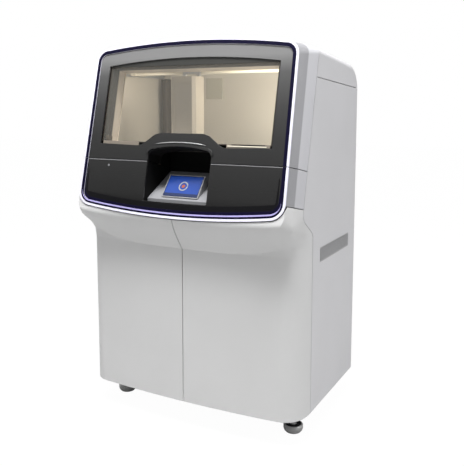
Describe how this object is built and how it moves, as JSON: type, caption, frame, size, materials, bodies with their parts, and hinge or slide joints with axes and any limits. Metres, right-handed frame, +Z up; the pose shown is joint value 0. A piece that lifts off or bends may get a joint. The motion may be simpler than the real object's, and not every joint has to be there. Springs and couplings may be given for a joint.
{
  "type": "genome sequencer cabinet",
  "caption": "Floor-standing sequencer cabinet with a lift-up glazed door over a pipetting deck, a touch screen niche and two swing doors below.",
  "frame": {"origin": "floor level under the middle of the cabinet's bounding box", "axes": "+X to the right seen from the front, +Y to the rear, +Z up"},
  "size_m": [1.08, 0.796, 1.704],
  "materials": {
    "cabinet_paint": "light grey textured paint",
    "door_paint": "light grey satin paint",
    "head_paint": "mid grey satin paint",
    "gloss_face": "glossy charcoal plastic",
    "dark_plastic": "matt black plastic",
    "light_trim": "gloss white plastic",
    "navy_trim": "gloss deep blue plastic",
    "window_glass": "clear",
    "display_glass": "lit display under glass",
    "seal_rubber": "soft black rubber",
    "zinc_steel": "zinc plated",
    "machined": "satin anodised",
    "chamber_paint": "warm white paint",
    "console_plastic": "pale grey plastic",
    "lamp": "translucent white",
    "rack_plastic": "teal plastic",
    "bottle_plastic": "natural polyethylene",
    "cap_plastic": "blue plastic",
    "cartridge_plastic": "white plastic"
  },
  "bodies": {
    "root": {"main_frame": "zinc_steel", "levelling_feet": "dark_plastic", "floor_pan": "zinc_steel", "rear_panel": "cabinet_paint", "left_side_panel": "cabinet_paint", "right_side_panel": "cabinet_paint", "vent_grilles": "dark_plastic", "top_cover": "cabinet_paint", "upper_door_hinges": "zinc_steel", "head_flanks": "head_paint", "front_fascia": "gloss_face", "fascia_support": "dark_plastic", "fascia_trim": "light_trim", "fascia_trim_inlay": "navy_trim", "status_lamp": "lamp", "niche_liner": "dark_plastic", "console_shelf": "console_plastic", "touchscreen": "dark_plastic", "screen_glass": "display_glass", "lower_door_hinges": "zinc_steel", "door_catches": "dark_plastic", "aperture_frame": "dark_plastic", "deck_plate": "machined", "chamber_side_walls": "chamber_paint", "chamber_back_wall": "chamber_paint", "chamber_ceiling": "chamber_paint", "chamber_lights": "lamp", "gantry_rails": "machined", "tip_racks": "rack_plastic", "sample_rack": "console_plastic", "thermal_cycler": "machined", "chip_stage": "dark_plastic", "optics_module": "dark_plastic", "bay_shelf": "zinc_steel", "bay_back_wall": "zinc_steel", "reagent_cartridges": "cartridge_plastic", "reagent_bottles": "bottle_plastic", "bottle_caps": "cap_plastic", "fan_housings": "dark_plastic", "mains_inlet": "dark_plastic"},
    "upper_door": {"upper_door_shell": "head_paint", "upper_door_liner": "dark_plastic", "upper_door_face": "gloss_face", "upper_door_glass": "window_glass", "upper_door_trim": "light_trim", "upper_door_trim_inlay": "navy_trim", "upper_door_seal": "seal_rubber"},
    "lower_door_left": {"lower_door_left": "door_paint", "lower_liner_left": "zinc_steel"},
    "lower_door_right": {"lower_door_right": "door_paint", "lower_liner_right": "zinc_steel"},
    "bridge": {"gantry_beam": "machined"},
    "carriage": {"x_carriage": "machined", "pipette_column": "chamber_paint"},
    "head": {"pipette_head": "dark_plastic"},
    "cycler_lid": {"cycler_lid": "dark_plastic"},
    "chip_tray": {"chip_tray": "machined"},
    "fan_left": {"fan_rotor_left": "dark_plastic"},
    "fan_right": {"fan_rotor_right": "dark_plastic"},
    "power_switch": {"power_switch": "dark_plastic"}
  },
  "joints": [
    {"name": "upper_door_hinge", "type": "hinge", "parent": "root", "child": "upper_door", "pos_m": [0, -0.12966, 1.67849], "axis": [-1, 0, 0], "range_deg": [0, 70]},
    {"name": "lower_door_left_hinge", "type": "hinge", "parent": "root", "child": "lower_door_left", "pos_m": [-0.531, -0.153, 0.5], "axis": [0, 0, -1], "range_deg": [0, 100]},
    {"name": "lower_door_right_hinge", "type": "hinge", "parent": "root", "child": "lower_door_right", "pos_m": [0.531, -0.153, 0.5], "axis": [0, 0, 1], "range_deg": [0, 100]},
    {"name": "bridge_slide", "type": "slide", "parent": "root", "child": "bridge", "axis": [0, 1, 0], "range_m": [-0.03, 0.2]},
    {"name": "carriage_slide", "type": "slide", "parent": "bridge", "child": "carriage", "axis": [1, 0, 0], "range_m": [-0.23, 0.52]},
    {"name": "head_slide", "type": "slide", "parent": "carriage", "child": "head", "axis": [0, 0, -1], "range_m": [0, 0.04]},
    {"name": "cycler_lid_hinge", "type": "hinge", "parent": "root", "child": "cycler_lid", "pos_m": [-0.44, 0.271, 1.129], "axis": [-1, 0, 0], "range_deg": [0, 80]},
    {"name": "chip_tray_slide", "type": "slide", "parent": "root", "child": "chip_tray", "axis": [0, -1, 0], "range_m": [0, 0.12]},
    {"name": "fan_left_spin", "type": "hinge", "parent": "root", "child": "fan_left", "pos_m": [-0.17, 0.375, 1.35], "axis": [0, 1, 0], "continuous": true},
    {"name": "fan_right_spin", "type": "hinge", "parent": "root", "child": "fan_right", "pos_m": [0.17, 0.375, 1.35], "axis": [0, 1, 0], "continuous": true},
    {"name": "power_switch_rock", "type": "hinge", "parent": "root", "child": "power_switch", "pos_m": [-0.359, 0.39, 0.299], "axis": [1, 0, 0], "range_deg": [-6, 6]}
  ]
}
